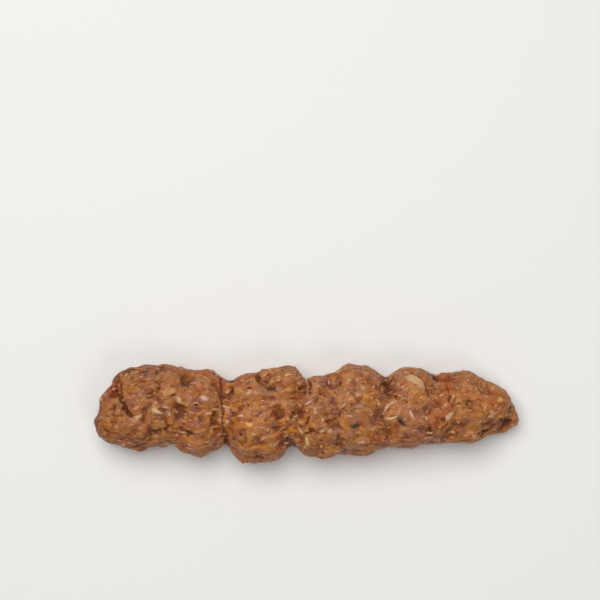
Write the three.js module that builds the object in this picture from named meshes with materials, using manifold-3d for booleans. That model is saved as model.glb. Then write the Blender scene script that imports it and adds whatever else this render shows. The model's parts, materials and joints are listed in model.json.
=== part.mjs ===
// A raw kofta: spiced minced meat with onion, fat and herbs, pressed by hand into a knobbly log that
// tapers to one end. Millimetres, +Z up, X along the log, the tapered end at +X. It lies on a flat
// underside at Z = 0, and the origin is at the middle of that underside.
import * as THREE from "three";
import { ImprovedNoise } from "three/addons/math/ImprovedNoise.js";
import { mergeVertices } from "three/addons/utils/BufferGeometryUtils.js";
import Module from "manifold-3d";

const wasm = await Module();
wasm.setup();

const UP = new THREE.Vector3(0, 0, 1);
const LENGTH = 180; // the whole kofta, from the blunt end to the nub on the tapered end

// The line [x, y, z] that the meat is pressed round, and the facets of its skin.
const SPINE = [
  [-72, -0.5, 14],
  [-40, 1, 14.5],
  [20, 1.2, 14.5],
  [62, 2.4, 13.5],
  [80, -0.6, 10.5],
];
const SEED_RADIUS = 4;
const SKIN_REACH = 40;
const SKIN_STEPS = 22;
const FACET_ALONG = 2.35;
const FACETS_ROUND = 38;
const CAP_RINGS = 7;
const SAME_POINT = 1e-4; // points nearer than this are one
const SPHERE_EDGE = 1.05; // the edge of an icosahedron in a sphere of radius 1

// The meat is pressed from handfuls. Each has its middle [x, y, z], its half sizes [along, across, high],
// its turn in degrees about Z, how blunt its shoulders are (2 is round, 4 is square), and over how many
// millimetres it blends into the handfuls before it: a small number leaves a sharp crease.
const HANDFULS = [
  { middle: [-4, 1, 14.6], half: [72, 13.4, 13.6], turn: 0, blunt: 3.4, blend: 0.1 }, // the core
  { middle: [-66.6, 4.6, 15], half: [16.4, 15.6, 16.2], turn: 4, blunt: 5, blend: 3 },
  { middle: [-67.5, -4, 14], half: [10.5, 8, 13.8], turn: 0, blunt: 2.2, blend: 5 },
  { middle: [-77.4, -1.9, 13.4], half: [12.2, 12.2, 13.4], turn: -14, blunt: 3.5, blend: 1 }, // the blunt end
  { middle: [-81.8, 4.8, 12.4], half: [7.8, 7.4, 12.6], turn: 14, blunt: 4, blend: 1 }, // and its back corner
  { middle: [-47, 0.9, 15], half: [11, 18, 16.4], turn: -4, blunt: 2.8, blend: 2 },
  { middle: [-22.8, -1.4, 15.2], half: [13.6, 19.2, 17], turn: 4, blunt: 2.5, blend: 0.4 },
  { middle: [-11.4, 9.2, 15.8], half: [9.6, 11.2, 14.8], turn: 0, blunt: 2.3, blend: 3 },
  { middle: [5.2, -1, 15], half: [13, 17.2, 16.6], turn: -6, blunt: 2.4, blend: 0.8 },
  { middle: [20.6, 2.2, 15.4], half: [14, 19.2, 17.2], turn: 0, blunt: 2.3, blend: 5 },
  { middle: [43.8, 2.7, 14.8], half: [13.2, 16.8, 16], turn: -6, blunt: 2.4, blend: 2 },
  { middle: [63.4, 3, 14], half: [14.4, 15, 14.6], turn: 3, blunt: 2.5, blend: 2.5 },
  { middle: [74.2, 4.7, 12], half: [13, 9.4, 10.6], turn: -38, blunt: 2.5, blend: 3 }, // the tapered end
  // What fills the valleys between them, from the tapered end to the blunt end.
  { middle: [54.6, 0.4, 14.2], half: [10, 11, 15], turn: 0, blunt: 2.4, blend: 4 },
  { middle: [35, 0.6, 14.8], half: [11, 12, 15.6], turn: 0, blunt: 2.4, blend: 4 },
  { middle: [-7.4, -0.2, 14.6], half: [9, 10.8, 15], turn: 0, blunt: 2.4, blend: 4 },
  { middle: [-55.4, 3, 15], half: [8.4, 13, 16], turn: 0, blunt: 2.4, blend: 4 },
];

// Lumps lie against the rest with an open crease, so each is a solid of its own.
const LUMPS = [
  { middle: [79.4, -4.6, 5.4], half: [8, 4.6, 5.6], turn: 6, blunt: 3, facet: 2 }, // under the tapered end
  { middle: [87, -2, 8.6], half: [2.6, 3, 3.6], turn: 0, blunt: 2.4, facet: 1.6 }, // the nub at the very end
];

// The unevenness of the meat: soft waves, and puffs with creases between them, by their length and height.
const WAVES = [
  { length: 17, height: 1.1 },
  { length: 6.4, height: 1.4 },
];
const PUFFS = { length: 9, height: 2.4, level: 0.35 };

// Cracks that open between the handfuls, along [x, y] points seen from above, with the width and depth in
// the meat.
const CRACKS = [
  { path: [[-83.4, 10.6], [-80.8, 9], [-79.6, 6.6]], width: 4.6, depth: 4.5 }, // the split behind the blunt end
  { path: [[-79, 6.6], [-78.2, 4.8], [-77, 3], [-75.8, 1.2], [-74.6, -0.6]], width: 1.8, depth: 3 },
  { path: [[-68, 8.4], [-66.4, 6.4], [-68.2, 3.8]], width: 1, depth: 2.5 },
  { path: [[-36.6, 14.4], [-36.4, 10], [-36.4, 4.5]], width: 1.2, depth: 3.5 },
  { path: [[-35.6, -5.5], [-35.2, -9], [-34.8, -12.4]], width: 1.8, depth: 3.5 },
  { path: [[-21.8, 17], [-21.2, 14.2]], width: 3, depth: 6 },
  {
    path: [[0.9, 14], [1.6, 11], [0.2, 4], [0.3, -3], [0.4, -7.6], [-3, -10], [-5.4, -12.4]],
    width: 1.2, depth: 3,
  },
  {
    path: [[59.1, 11.3], [59.4, 7.6], [60, 4.2], [65, 5.6], [70.5, 6.7], [75.6, 5.4]],
    width: 1.1, depth: 2.6,
  },
  { path: [[59.6, 4.8], [60.6, 1]], width: 1, depth: 2.2 },
  { path: [[72.2, -9.2], [75.2, -7.4], [78.6, -5.8]], width: 1.9, depth: 5 }, // over the lump
  { path: [[79.6, -5.8], [80, -2.4]], width: 1.4, depth: 3.5 },
  { path: [[80.2, -2.2], [85.6, -1.8]], width: 1.6, depth: 4 },
  { path: [[-53.4, -5.4], [-52.6, -7.2]], width: 1.5, depth: 2.4 },
  { path: [[-59.2, -9], [-58.6, -12]], width: 1.6, depth: 3 },
  { path: [[29.5, 14.6], [33, 15.2], [36, 13.6]], width: 1.4, depth: 3 },
];
const KNIFE_OVERLAP = 0.78; // the half length of each knife as a share of its stretch of crack

// The sides have cracks of the same kind, spread by a seeded rule between two places along X, and on each
// side within an angle of the level. Each has stretches of one length that bend by up to so many degrees.
const SIDE_CRACKS = {
  count: 6, seed: 71, span: [-72, 66], slack: [0.2, 0.8], angle: 27, stretches: 4, step: 4.6, bend: 50,
  width: 1.4, depth: 3,
};

// Pieces of onion, fat, herb and pepper that stand out of the meat on top: where each lies [x, y], its
// length and width, its turn in degrees from X, and how far it stands out.
const FLAKES = [
  { at: [44.6, 15.6], size: [4.2, 2.2], turn: -20, proud: 0.75 }, // a broad flake of onion
  { at: [47.6, 12.2], size: [5.6, 2.8], turn: -58, proud: 0.9 }, // and its other leg
  { at: [35.6, 3.2], size: [5.2, 1.2], turn: 42, proud: 0.6 },
  { at: [35.4, -2.2], size: [6.2, 1.3], turn: 8, proud: 0.6 },
  { at: [44, 0.2], size: [5.2, 0.9], turn: -66, proud: 0.52 },
  { at: [-0.2, -11.4], size: [5.8, 1.7], turn: 82, proud: 0.75 },
  { at: [-3.4, -6.6], size: [4.6, 0.9], turn: -52, proud: 0.52 },
  { at: [-53.8, 5.4], size: [3.4, 1.6], turn: 80, proud: 0.75 },
  { at: [-63.6, 1.2], size: [4, 1.9], turn: -48, proud: 0.75 },
  { at: [-71.6, -1.8], size: [2.8, 1.7], turn: 10, proud: 0.75 },
  { at: [-43.4, 6.2], size: [3.4, 3], turn: 60, proud: 0.75 }, // a piece of fat
  { at: [-15.4, 10], size: [4.6, 2.2], turn: 8, proud: 0.52 }, // leaves of herb
  { at: [19.8, -5.2], size: [4.6, 1.6], turn: 28, proud: 0.52 },
  { at: [39.2, -2.4], size: [3.8, 2.2], turn: -70, proud: 0.52 },
  { at: [56.8, -2.4], size: [2.4, 2.4], turn: 0, proud: 1.05 }, // a peppercorn
  { at: [58.6, -1.4], size: [2.4, 1.6], turn: 60, proud: 0.6 },
  { at: [-24.4, -4.4], size: [3.4, 2.4], turn: 20, proud: 0.75 }, // pieces of pepper
  { at: [82, 6], size: [2.8, 2.2], turn: -40, proud: 0.9 },
  { at: [78.2, -0.2], size: [3.6, 2.6], turn: 0, proud: 0.75 },
  { at: [-58.8, 8.6], size: [5.6, 2.2], turn: 22, proud: 0.68 },
];
const FLAKE_SUNK = 0.6; // how far each flake's middle lies under the skin, as a share of how far it stands out

// Granules of meat, onion and fat stand out all over, spread by a seeded rule between two places along X,
// and round the meat down to an angle below the level on each side.
const GRANULES = {
  count: 38, seed: 29, span: [-82, 80], below: 28, length: [3.6, 7], width: [2.4, 4], proud: 1,
};

const noise = new ImprovedNoise();
const { degToRad, lerp } = THREE.MathUtils;

/**
 * A function that draws numbers between two limits, the same on each run (the minimal standard
 * generator).
 */
function drawsFrom(seed) {
  const factor = 16807;
  const modulus = 2 ** 31 - 1;
  let state = seed;
  return (low, high) => {
    state = (state * factor) % modulus;
    return lerp(low, high, state / modulus);
  };
}

/** A closed geometry as a solid that can be cut and joined. */
function solidOf(geometry) {
  const bare = geometry.clone();
  bare.deleteAttribute("normal");
  bare.deleteAttribute("uv");
  const merged = mergeVertices(bare, SAME_POINT);
  return new wasm.Manifold(
    new wasm.Mesh({
      numProp: 3,
      vertProperties: merged.attributes.position.array,
      triVerts: new Uint32Array(merged.index.array),
    }),
  );
}

/** A solid as a geometry with flat facets. */
function geometryOf(solid) {
  const mesh = solid.getMesh();
  const geometry = new THREE.BufferGeometry()
    .setAttribute("position", new THREE.BufferAttribute(mesh.vertProperties, 3))
    .setIndex(new THREE.BufferAttribute(mesh.triVerts, 1))
    .toNonIndexed();
  geometry.computeVertexNormals();
  return geometry;
}

/** Noise of one wavelength at a point, from -1 to 1. */
function noiseAt(point, length) {
  return noise.noise(point.x / length, point.y / length, point.z / length);
}

/** How far the meat stands out of its smooth form at a point. */
function unevenness(point) {
  const waves = WAVES.reduce((sum, { length, height }) => sum + height * noiseAt(point, length), 0);
  return waves + PUFFS.height * (PUFFS.level - Math.abs(noiseAt(point, PUFFS.length)));
}

/** About how far a point is outside one handful. */
function outside({ middle, half, turn, blunt }, point) {
  const local = point.clone().sub(new THREE.Vector3(...middle));
  local.applyAxisAngle(UP, -degToRad(turn)).divide(new THREE.Vector3(...half));
  const across = Math.hypot(local.y, local.z);
  const size = (Math.abs(local.x) ** blunt + across ** blunt) ** (1 / blunt);
  return (size - 1) * half[1];
}

/** About how far a point is outside the meat, whose handfuls blend where they meet. */
function outsideMeat(handfuls, point) {
  const joined = handfuls.reduce((nearest, shape) => {
    const next = outside(shape, point);
    if (nearest === Infinity) return next;
    const overlap = Math.max(shape.blend - Math.abs(nearest - next), 0) / shape.blend;
    return Math.min(nearest, next) - (overlap * overlap * shape.blend) / 4;
  }, Infinity);
  return joined - unevenness(point);
}

/** The meat's skin along a ray from inside it, found by halving. */
function skinAlong(handfuls, start, direction) {
  let inner = 0;
  let outer = SKIN_REACH;
  const point = new THREE.Vector3();
  for (let step = 0; step < SKIN_STEPS; step++) {
    const middle = (inner + outer) / 2;
    if (outsideMeat(handfuls, point.copy(start).addScaledVector(direction, middle)) > 0) outer = middle;
    else inner = middle;
  }
  return point.copy(start).addScaledVector(direction, inner);
}

/** The place on the spine at one X. */
function spineAt(x) {
  const held = THREE.MathUtils.clamp(x, SPINE[0][0], SPINE.at(-1)[0]);
  const after = SPINE.findIndex((point) => point[0] >= held) || 1;
  const [from, to] = [SPINE[after - 1], SPINE[after]].map((point) => new THREE.Vector3(...point));
  return from.lerp(to, (held - from.x) / (to.x - from.x));
}

/** The outline of the seed that the skin grows from: a thin rod with round ends. */
function seedOutline() {
  const [from, to] = [SPINE[0][0], SPINE.at(-1)[0]];
  const bend = (i) => (i / CAP_RINGS) * (Math.PI / 2);
  const points = [];
  for (let i = 0; i <= CAP_RINGS; i++) {
    points.push(new THREE.Vector2(SEED_RADIUS * Math.sin(bend(i)), from - SEED_RADIUS * Math.cos(bend(i))));
  }
  const rings = Math.round((to - from) / FACET_ALONG);
  for (let i = 1; i < rings; i++) points.push(new THREE.Vector2(SEED_RADIUS, lerp(from, to, i / rings)));
  for (let i = CAP_RINGS; i >= 0; i--) {
    points.push(new THREE.Vector2(SEED_RADIUS * Math.sin(bend(i)), to + SEED_RADIUS * Math.cos(bend(i))));
  }
  return points;
}

/**
 * The log: the seed, whose rings turn by half a facet each, moved out along rays to the skin of the
 * handfuls.
 */
function log() {
  const geometry = new THREE.LatheGeometry(seedOutline(), FACETS_ROUND);
  geometry.rotateZ(-Math.PI / 2);
  const position = geometry.attributes.position;
  const direction = new THREE.Vector3();
  for (let i = 0; i < position.count; i++) {
    direction.fromBufferAttribute(position, i);
    const start = spineAt(direction.x);
    direction.x -= start.x;
    const ring = (start.x - SPINE[0][0]) / FACET_ALONG;
    direction.applyAxisAngle(new THREE.Vector3(1, 0, 0), (ring * Math.PI) / FACETS_ROUND).normalize();
    const skin = skinAlong(HANDFULS, start, direction);
    position.setXYZ(i, skin.x, skin.y, skin.z);
  }
  return solidOf(geometry);
}

/** A lump, grown from its own middle. */
function lump(shape) {
  const detail = Math.round((SPHERE_EDGE * Math.max(...shape.half)) / shape.facet);
  const geometry = new THREE.IcosahedronGeometry(1, detail);
  const position = geometry.attributes.position;
  const middle = new THREE.Vector3(...shape.middle);
  for (let i = 0; i < position.count; i++) {
    const direction = new THREE.Vector3().fromBufferAttribute(position, i).normalize();
    const skin = skinAlong([shape], middle, direction);
    position.setXYZ(i, skin.x, skin.y, skin.z);
  }
  return solidOf(geometry);
}

/** A function that finds the skin of a solid: the place and the outward normal where a ray first meets it. */
function seatsOn(solid) {
  const mesh = new THREE.Mesh(geometryOf(solid));
  const caster = new THREE.Raycaster();
  return (from, towards) => {
    caster.set(from, towards.clone().sub(from).normalize());
    const [hit] = caster.intersectObject(mesh);
    return hit && { point: hit.point, normal: hit.face.normal };
  };
}

/** A ray's start and target that meet the top of the meat at [x, y]. */
function fromAbove([x, y]) {
  return [new THREE.Vector3(x, y, 2 * SKIN_REACH), new THREE.Vector3(x, y, 0)];
}

/** A ray's start and target that meet the side of the meat at X, a number of radians round the spine. */
function fromSide(x, around) {
  const target = spineAt(x);
  const offset = new THREE.Vector3(0, Math.cos(around), Math.sin(around)).multiplyScalar(2 * SKIN_REACH);
  return [target.clone().add(offset), target];
}

/** A knife: an octahedron that opens the meat from one place on the skin to the next. */
function knife(from, to, normal, { width, depth }) {
  const along = to.clone().sub(from);
  const length = along.length();
  const across = new THREE.Vector3().crossVectors(normal, along).normalize();
  const down = new THREE.Vector3().crossVectors(along, across).normalize();
  const geometry = new THREE.OctahedronGeometry(1, 0);
  geometry.scale(length * KNIFE_OVERLAP, width / 2, depth);
  geometry.applyMatrix4(new THREE.Matrix4().makeBasis(along.normalize(), across, down));
  const middle = from.clone().lerp(to, 0.5);
  geometry.translate(middle.x, middle.y, middle.z);
  return solidOf(geometry);
}

/** The knives for one crack, whose places on the skin are given in order. */
function crack(seats, size) {
  return seats.slice(1).map((seat, i) => knife(seats[i].point, seat.point, seat.normal, size));
}

/** The knives for the cracks of the sides, which take turns: one on the back, then one on the front. */
function sideCracks(seat) {
  const { count, seed, span, slack, angle, stretches, step, bend } = SIDE_CRACKS;
  const draw = drawsFrom(seed);
  const knives = [];
  for (let i = 0; i < count; i++) {
    let x = lerp(...span, (i + draw(...slack)) / count);
    let around = degToRad((i % 2 ? 0 : 180) + draw(-angle, angle));
    let heading = degToRad(draw(0, 360));
    const seats = [];
    for (let stretch = 0; stretch < stretches; stretch++) {
      seats.push(seat(...fromSide(x, around)));
      heading += degToRad(draw(-bend, bend));
      x += step * Math.cos(heading);
      around += (step * Math.sin(heading)) / SPINE[0][2];
    }
    knives.push(...crack(seats, SIDE_CRACKS));
  }
  return knives;
}

/** A piece that stands out of the skin: a low icosahedron laid on it, half sunk. */
function piece({ point, normal }, [length, width], turn, proud) {
  const geometry = new THREE.IcosahedronGeometry(1, 0);
  geometry.scale(length / 2, width / 2, proud * (1 + FLAKE_SUNK));
  geometry.rotateZ(degToRad(turn));
  geometry.applyQuaternion(new THREE.Quaternion().setFromUnitVectors(UP, normal));
  const middle = point.clone().addScaledVector(normal, -proud * FLAKE_SUNK);
  geometry.translate(middle.x, middle.y, middle.z);
  return solidOf(geometry);
}

/** The granules, spread round and along the whole log but not under it. */
function granules(seat) {
  const { count, seed, span, below, length, width, proud } = GRANULES;
  const draw = drawsFrom(seed);
  const pieces = [];
  for (let i = 0; i < count; i++) {
    const x = lerp(...span, (i + draw(0, 1)) / count);
    const around = degToRad(draw(-below, 180 + below));
    pieces.push(piece(seat(...fromSide(x, around)), [draw(...length), draw(...width)], draw(0, 180), proud));
  }
  return pieces;
}

/** All that is under the table that the kofta lies on. */
function table() {
  const geometry = new THREE.BoxGeometry(2 * LENGTH, LENGTH, SKIN_REACH);
  geometry.translate(0, 0, -SKIN_REACH / 2);
  return solidOf(geometry);
}

/** The meat as it lies: moved to stand over the origin, and brought to its length. */
function fitted(geometry) {
  geometry.computeBoundingBox();
  const { min, max } = geometry.boundingBox;
  geometry.translate(-(min.x + max.x) / 2, -(min.y + max.y) / 2, 0);
  const size = LENGTH / (max.x - min.x);
  return geometry.scale(size, size, size);
}

/**
 * The whole kofta: the pressed log with its lumps, its cracks cut and its pieces joined on, flat
 * underneath.
 */
function kofta() {
  const pressed = LUMPS.map(lump).reduce((all, next) => all.add(next), log());
  const seat = seatsOn(pressed);
  const topCracks = CRACKS.flatMap((size) => crack(size.path.map((at) => seat(...fromAbove(at))), size));
  const cut = [...topCracks, ...sideCracks(seat)].reduce((all, next) => all.subtract(next), pressed);
  const flakes = FLAKES.map(({ at, size, turn, proud }) => piece(seat(...fromAbove(at)), size, turn, proud));
  return [...flakes, ...granules(seat)].reduce((all, next) => all.add(next), cut).subtract(table());
}

const meat = new THREE.Mesh(
  fitted(geometryOf(kofta())),
  new THREE.MeshStandardMaterial({ color: 0x96603e, roughness: 0.5, metalness: 0 }),
);
meat.name = "kofta";

const group = new THREE.Group();
group.add(meat);
export default group;
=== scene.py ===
"""A raw kofta: spiced minced meat pressed by hand into a knobbly log, with onion, fat and herbs in it.

The log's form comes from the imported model. This script gives it the skin of coarse raw mince and opens its
cracks, lays the pieces that show in the meat on that skin, and sets it in a plain studio.
"""

from __future__ import annotations

import json
import logging
import math
from dataclasses import dataclass, field
from enum import Enum
from typing import Any, Callable, Optional, Union

import bmesh
import bpy
import numpy as np
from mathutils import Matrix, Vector
from mathutils.bvhtree import BVHTree

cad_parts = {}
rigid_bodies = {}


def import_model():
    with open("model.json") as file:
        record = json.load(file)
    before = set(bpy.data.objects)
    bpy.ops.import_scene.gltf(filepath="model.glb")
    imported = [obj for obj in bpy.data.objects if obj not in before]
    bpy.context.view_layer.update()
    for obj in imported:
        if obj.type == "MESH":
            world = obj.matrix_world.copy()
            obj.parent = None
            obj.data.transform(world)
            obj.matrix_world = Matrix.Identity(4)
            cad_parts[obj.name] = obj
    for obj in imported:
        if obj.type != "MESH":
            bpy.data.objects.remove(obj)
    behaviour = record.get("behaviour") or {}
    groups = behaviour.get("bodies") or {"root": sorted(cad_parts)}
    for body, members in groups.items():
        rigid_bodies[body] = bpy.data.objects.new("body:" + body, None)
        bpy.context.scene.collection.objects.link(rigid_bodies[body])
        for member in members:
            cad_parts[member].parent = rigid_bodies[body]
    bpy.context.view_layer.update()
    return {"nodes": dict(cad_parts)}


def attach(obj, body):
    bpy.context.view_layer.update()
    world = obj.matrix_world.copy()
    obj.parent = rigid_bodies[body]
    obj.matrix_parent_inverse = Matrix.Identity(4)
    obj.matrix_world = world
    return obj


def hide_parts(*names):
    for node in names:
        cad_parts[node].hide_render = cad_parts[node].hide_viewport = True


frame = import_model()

MM = 0.001
log = logging.getLogger("kofta")

Colour = tuple[float, float, float, float]
Stops = tuple[tuple[float, Colour], ...]
Spot = tuple[float, float, float]
Point = tuple[float, float]

SKIN_ATTRIBUTES = ("tone", "strand", "hollow", "crack", "dark", "cavity", "raw", "shaded")


@dataclass(frozen=True)
class View:
    """The camera's place, the level at which it shows true sizes, and how wide it sees there. Metres."""

    middle: Point = (-0.0032, 0.048)
    height: float = 0.9
    level: float = 0.015
    width: float = 0.2529

    def through(self, x: float, y: float) -> tuple[Vector, Vector]:
        """The eye and the direction from it through a place at the true level, in millimetres."""
        eye = Vector((*self.middle, self.height))
        return eye, (Vector((x * MM, y * MM, self.level)) - eye).normalized()

    def seen(self, tree: GeometryTree, position: Term) -> Term:
        """Where positions are seen from above.

        Args:
            tree: The tree that works it out.
            position: The positions, in metres.

        Returns:
            Their X and Y at the true level, with no height.
        """
        eye = (*self.middle, 0.0)
        near = (self.height - self.level) / (self.height - tree.part(position, "Z"))
        off = tree.vector("SCALE", tree.vector("SUBTRACT", position, eye), near)
        return tree.vector("MULTIPLY", tree.vector("ADD", off, eye), (1.0, 1.0, 0.0))


VIEW = View()


def srgb(*screen: int) -> Colour:
    """A colour as a shader takes it, from its red, green and blue on a screen of 0 to 255."""
    parts = (value / 255 for value in screen)
    return (*(part / 12.92 if part <= 0.04045 else ((part + 0.055) / 1.055) ** 2.4 for part in parts), 1.0)


# ---------- Node trees as Python expressions ----------


def maths(operation: str, swapped: bool = False) -> Callable[[Term, Value], Term]:
    """Makes a method that adds a Math node.

    Args:
        operation: The node's operation.
        swapped: Whether the other value comes first.

    Returns:
        The method.
    """
    def add_node(self: Term, other: Value) -> Term:
        """The result of one Math node on the two values."""
        first, second = (other, self) if swapped else (self, other)
        return self.tree.node("ShaderNodeMath", {"operation": operation}, {0: first, 1: second})[0]

    return add_node


class Term:
    """One output of a node. Arithmetic on it adds Math nodes to its tree."""

    __add__ = __radd__ = maths("ADD")
    __sub__, __rsub__ = maths("SUBTRACT"), maths("SUBTRACT", swapped=True)
    __mul__ = __rmul__ = maths("MULTIPLY")
    __truediv__, __rtruediv__ = maths("DIVIDE"), maths("DIVIDE", swapped=True)
    least, most = maths("MINIMUM"), maths("MAXIMUM")

    def __init__(self, tree: Tree, socket: bpy.types.NodeSocket) -> None:
        """Holds the output and the tree that it is in."""
        self.tree = tree
        self.socket = socket

    def step(self, low: Value, high: Value) -> Term:
        """A smooth step from 0 at low to 1 at high, which may be the smaller of the two."""
        values = {"Value": self, "From Min": low, "From Max": high}
        return self.tree.node("ShaderNodeMapRange", {"interpolation_type": "SMOOTHSTEP"}, values)[0]


Value = Union[Term, int, float, tuple, str, bool, bpy.types.ID]


class Made:
    """A node that has been made, whose outputs are read by name or place."""

    def __init__(self, tree: Tree, node: bpy.types.Node) -> None:
        """Holds the node and its tree."""
        self.tree = tree
        self.node = node

    def __getitem__(self, key: Union[int, str]) -> Term:
        """One output."""
        return Term(self.tree, self.node.outputs[key])


class Tree:
    """A node tree that is built by one method for any node, and a few for common ones."""

    SPLIT = "ShaderNodeSeparateColor"

    def __init__(self, tree: bpy.types.NodeTree) -> None:
        """Empties the tree."""
        self.tree = tree
        tree.nodes.clear()

    def node(self, kind: str, settings: Optional[dict[str, Any]] = None,
             values: Optional[dict[Union[int, str], Value]] = None) -> Made:
        """Adds a node.

        Args:
            kind: The node's type.
            settings: Its properties, and for a ramp its stops, as pairs of place and colour.
            values: What its inputs hold or are linked to, by name or place.

        Returns:
            The node.
        """
        made = self.tree.nodes.new(kind)
        for name, value in (settings or {}).items():
            if name == "stops":
                self._set_stops(made.color_ramp, value)
            else:
                setattr(made, name, value)
        for key, value in (values or {}).items():
            if isinstance(value, Term):
                self.tree.links.new(value.socket, made.inputs[key])
            else:
                made.inputs[key].default_value = value
        return Made(self, made)

    @staticmethod
    def _set_stops(ramp: bpy.types.ColorRamp, stops: Stops) -> None:
        """Gives a ramp its stops.

        Args:
            ramp: The ramp.
            stops: Each stop's place and colour.
        """
        while len(ramp.elements) < len(stops):
            ramp.elements.new(1.0)
        for element, (place, colour) in zip(ramp.elements, stops):
            element.position = place
            element.color = colour

    def vector(self, operation: str, *values: Value) -> Term:
        """One Vector Math node that gives a vector."""
        inputs = {0: values[0], "Scale": values[1]} if operation == "SCALE" else dict(enumerate(values))
        return self.node("ShaderNodeVectorMath", {"operation": operation}, inputs)["Vector"]

    def number(self, operation: str, *values: Value) -> Term:
        """One Vector Math node that gives a number."""
        return self.node("ShaderNodeVectorMath", {"operation": operation}, dict(enumerate(values)))["Value"]

    def part(self, vector: Term, axis: str) -> Term:
        """One coordinate of a vector."""
        return self.node("ShaderNodeSeparateXYZ", None, {"Vector": vector})[axis]

    def mix(self, factor: Value, first: Value, second: Value) -> Term:
        """A mix of two colours."""
        return self.node("ShaderNodeMix", {"data_type": "RGBA"}, {0: factor, 6: first, 7: second})[2]

    def ramp(self, factor: Term, stops: Stops) -> Term:
        """A colour from a ramp."""
        return self.node("ShaderNodeValToRGB", {"stops": stops}, {"Fac": factor})["Color"]

    def noise(self, place: Term, size: Value, detail: float = 2.0, output: str = "Fac") -> Term:
        """Noise whose waves are about one size long."""
        values = {"Vector": place, "Scale": 1 / size, "Detail": detail}
        return self.node("ShaderNodeTexNoise", None, values)[output]

    def cells(self, place: Term, size: Value, feature: str = "F1", soft: float = 0.0) -> Made:
        """Voronoi cells.

        Args:
            place: The place that they are laid out on.
            size: About how wide each is.
            feature: What their distance is measured to.
            soft: How much they blend into each other, from 0 to 1.

        Returns:
            The cells' node.
        """
        values = {"Vector": place, "Scale": 1 / size}
        if soft:
            feature, values["Smoothness"] = "SMOOTH_F1", soft
        return self.node("ShaderNodeTexVoronoi", {"feature": feature}, values)

    def draw(self, cells: Made, channel: str) -> Term:
        """One of the random numbers of a Voronoi cell."""
        return self.node(self.SPLIT, None, {"Color": cells["Color"]})[channel]

    def bent(self, place: Term, size: float, reach: float) -> Term:
        """A place moved by noise of one size, by up to about half the reach each way."""
        swirl = self.vector("SUBTRACT", self.noise(place, size, 1.0, "Color"), (0.5, 0.5, 0.5))
        return self.vector("ADD", place, self.vector("SCALE", swirl, reach))

    def drawn_out(self, place: Term, share: float) -> Term:
        """A place on which patterns are long in X, as only a share of it counts."""
        return self.vector("MULTIPLY", place, (share, 1.0, 1.0))


class ShaderTree(Tree):
    """The node tree of a new material."""

    def __init__(self, name: str) -> None:
        """Makes the material.

        Args:
            name: Its name.
        """
        self.material = bpy.data.materials.new(name)
        self.material.use_nodes = True
        super().__init__(self.material.node_tree)

    def millimetres(self) -> Term:
        """The place on the object, in millimetres."""
        return self.vector("SCALE", self.node("ShaderNodeTexCoord")["Object"], 1 / MM)

    def carried(self, name: str) -> Term:
        """A number that the mesh carries as an attribute."""
        return self.node("ShaderNodeAttribute", {"attribute_name": name})["Fac"]

    def bump(self, height: Term, depth: float, strength: float) -> Term:
        """A bumped normal, whose depth is in millimetres."""
        values = {"Strength": strength, "Distance": depth * MM, "Height": height}
        return self.node("ShaderNodeBump", None, values)["Normal"]

    def finish(self, shader: Made) -> bpy.types.Material:
        """Ends the tree in a shader."""
        self.node("ShaderNodeOutputMaterial", None, {"Surface": shader[0]})
        return self.material


class GeometryTree(Tree):
    """A Geometry Nodes tree with named inputs."""

    SPLIT = "FunctionNodeSeparateColor"

    def __init__(self, name: str, inputs: dict[str, tuple[str, Any]]) -> None:
        """Makes the tree.

        Args:
            name: The tree's name.
            inputs: Each named input's socket type, without its first words, and its value.
        """
        super().__init__(bpy.data.node_groups.new(name, "GeometryNodeTree"))
        face = self.tree.interface
        face.new_socket("Geometry", in_out="INPUT", socket_type="NodeSocketGeometry")
        face.new_socket("Geometry", in_out="OUTPUT", socket_type="NodeSocketGeometry")
        self.settings: dict[str, Any] = {}
        for label, (kind, value) in inputs.items():
            socket = face.new_socket(label, in_out="INPUT", socket_type="NodeSocket" + kind)
            self.settings[socket.identifier] = value
        self.given = self.node("NodeGroupInput")

    def attribute(self, name: str, kind: str = "FLOAT") -> Term:
        """A named attribute of the geometry."""
        return self.node("GeometryNodeInputNamedAttribute", {"data_type": kind}, {"Name": name})["Attribute"]

    def stored(self, geometry: Term, name: str, value: Term) -> Term:
        """The geometry with a number kept on each of its points."""
        return self.node("GeometryNodeStoreNamedAttribute", {"data_type": "FLOAT", "domain": "POINT"}, {
            "Geometry": geometry, "Name": name, "Value": value})[0]

    def mesh_of(self, thing: Term) -> Term:
        """The geometry of an object that an input names."""
        return self.node("GeometryNodeObjectInfo", None, {"Object": thing})["Geometry"]

    def above(self, place: Term, level: float) -> Term:
        """A place that is brought up to a level where it is lower."""
        x, y, z = (self.part(place, axis) for axis in "XYZ")
        return self.node("ShaderNodeCombineXYZ", None, {"X": x, "Y": y, "Z": z.most(level)})[0]

    def finish(self, geometry: Term, material: Term) -> None:
        """Ends the tree in plain smooth geometry.

        Args:
            geometry: The geometry.
            material: Its material.
        """
        real = self.node("GeometryNodeRealizeInstances", None, {"Geometry": geometry})[0]
        smooth = self.node("GeometryNodeSetShadeSmooth", None, {"Geometry": real})[0]
        dressed = self.node("GeometryNodeSetMaterial", None, {"Geometry": smooth, "Material": material})[0]
        self.node("NodeGroupOutput", None, {"Geometry": dressed})

    def applied_to(self, thing: bpy.types.Object) -> bpy.types.Mesh:
        """Runs the tree on an object.

        Args:
            thing: The object, which keeps no modifier.

        Returns:
            The plain mesh that the tree makes of it.
        """
        modifier = thing.modifiers.new(self.tree.name, "NODES")
        modifier.node_group = self.tree
        for identifier, value in self.settings.items():
            modifier[identifier] = value
        return baked(thing)


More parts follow.
